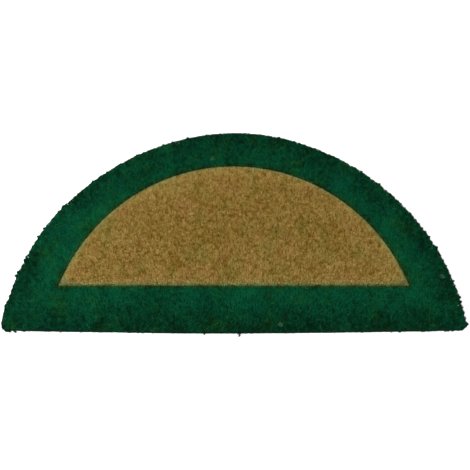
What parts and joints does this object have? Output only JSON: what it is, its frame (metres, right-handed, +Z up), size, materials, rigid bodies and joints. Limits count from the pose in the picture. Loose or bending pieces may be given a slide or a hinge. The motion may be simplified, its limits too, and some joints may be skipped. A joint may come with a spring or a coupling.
{
  "type": "half-round doormat",
  "caption": "Half-round coir doormat: a natural pile field inside a dyed border of even width, lying flat on the floor.",
  "frame": {"origin": "on the floor, under the middle of the mat's bounding box", "axes": "+X along the straight edge, +Y from the straight edge to the crown of the arc, +Z up through the pile"},
  "size_m": [0.748, 0.4034, 0.018],
  "materials": {
    "green_coir": "matt dyed coir pile, sheared",
    "natural_coir": "matt natural coir pile, sheared"
  },
  "bodies": {
    "root": {"border": "green_coir", "field": "natural_coir"}
  },
  "joints": []
}
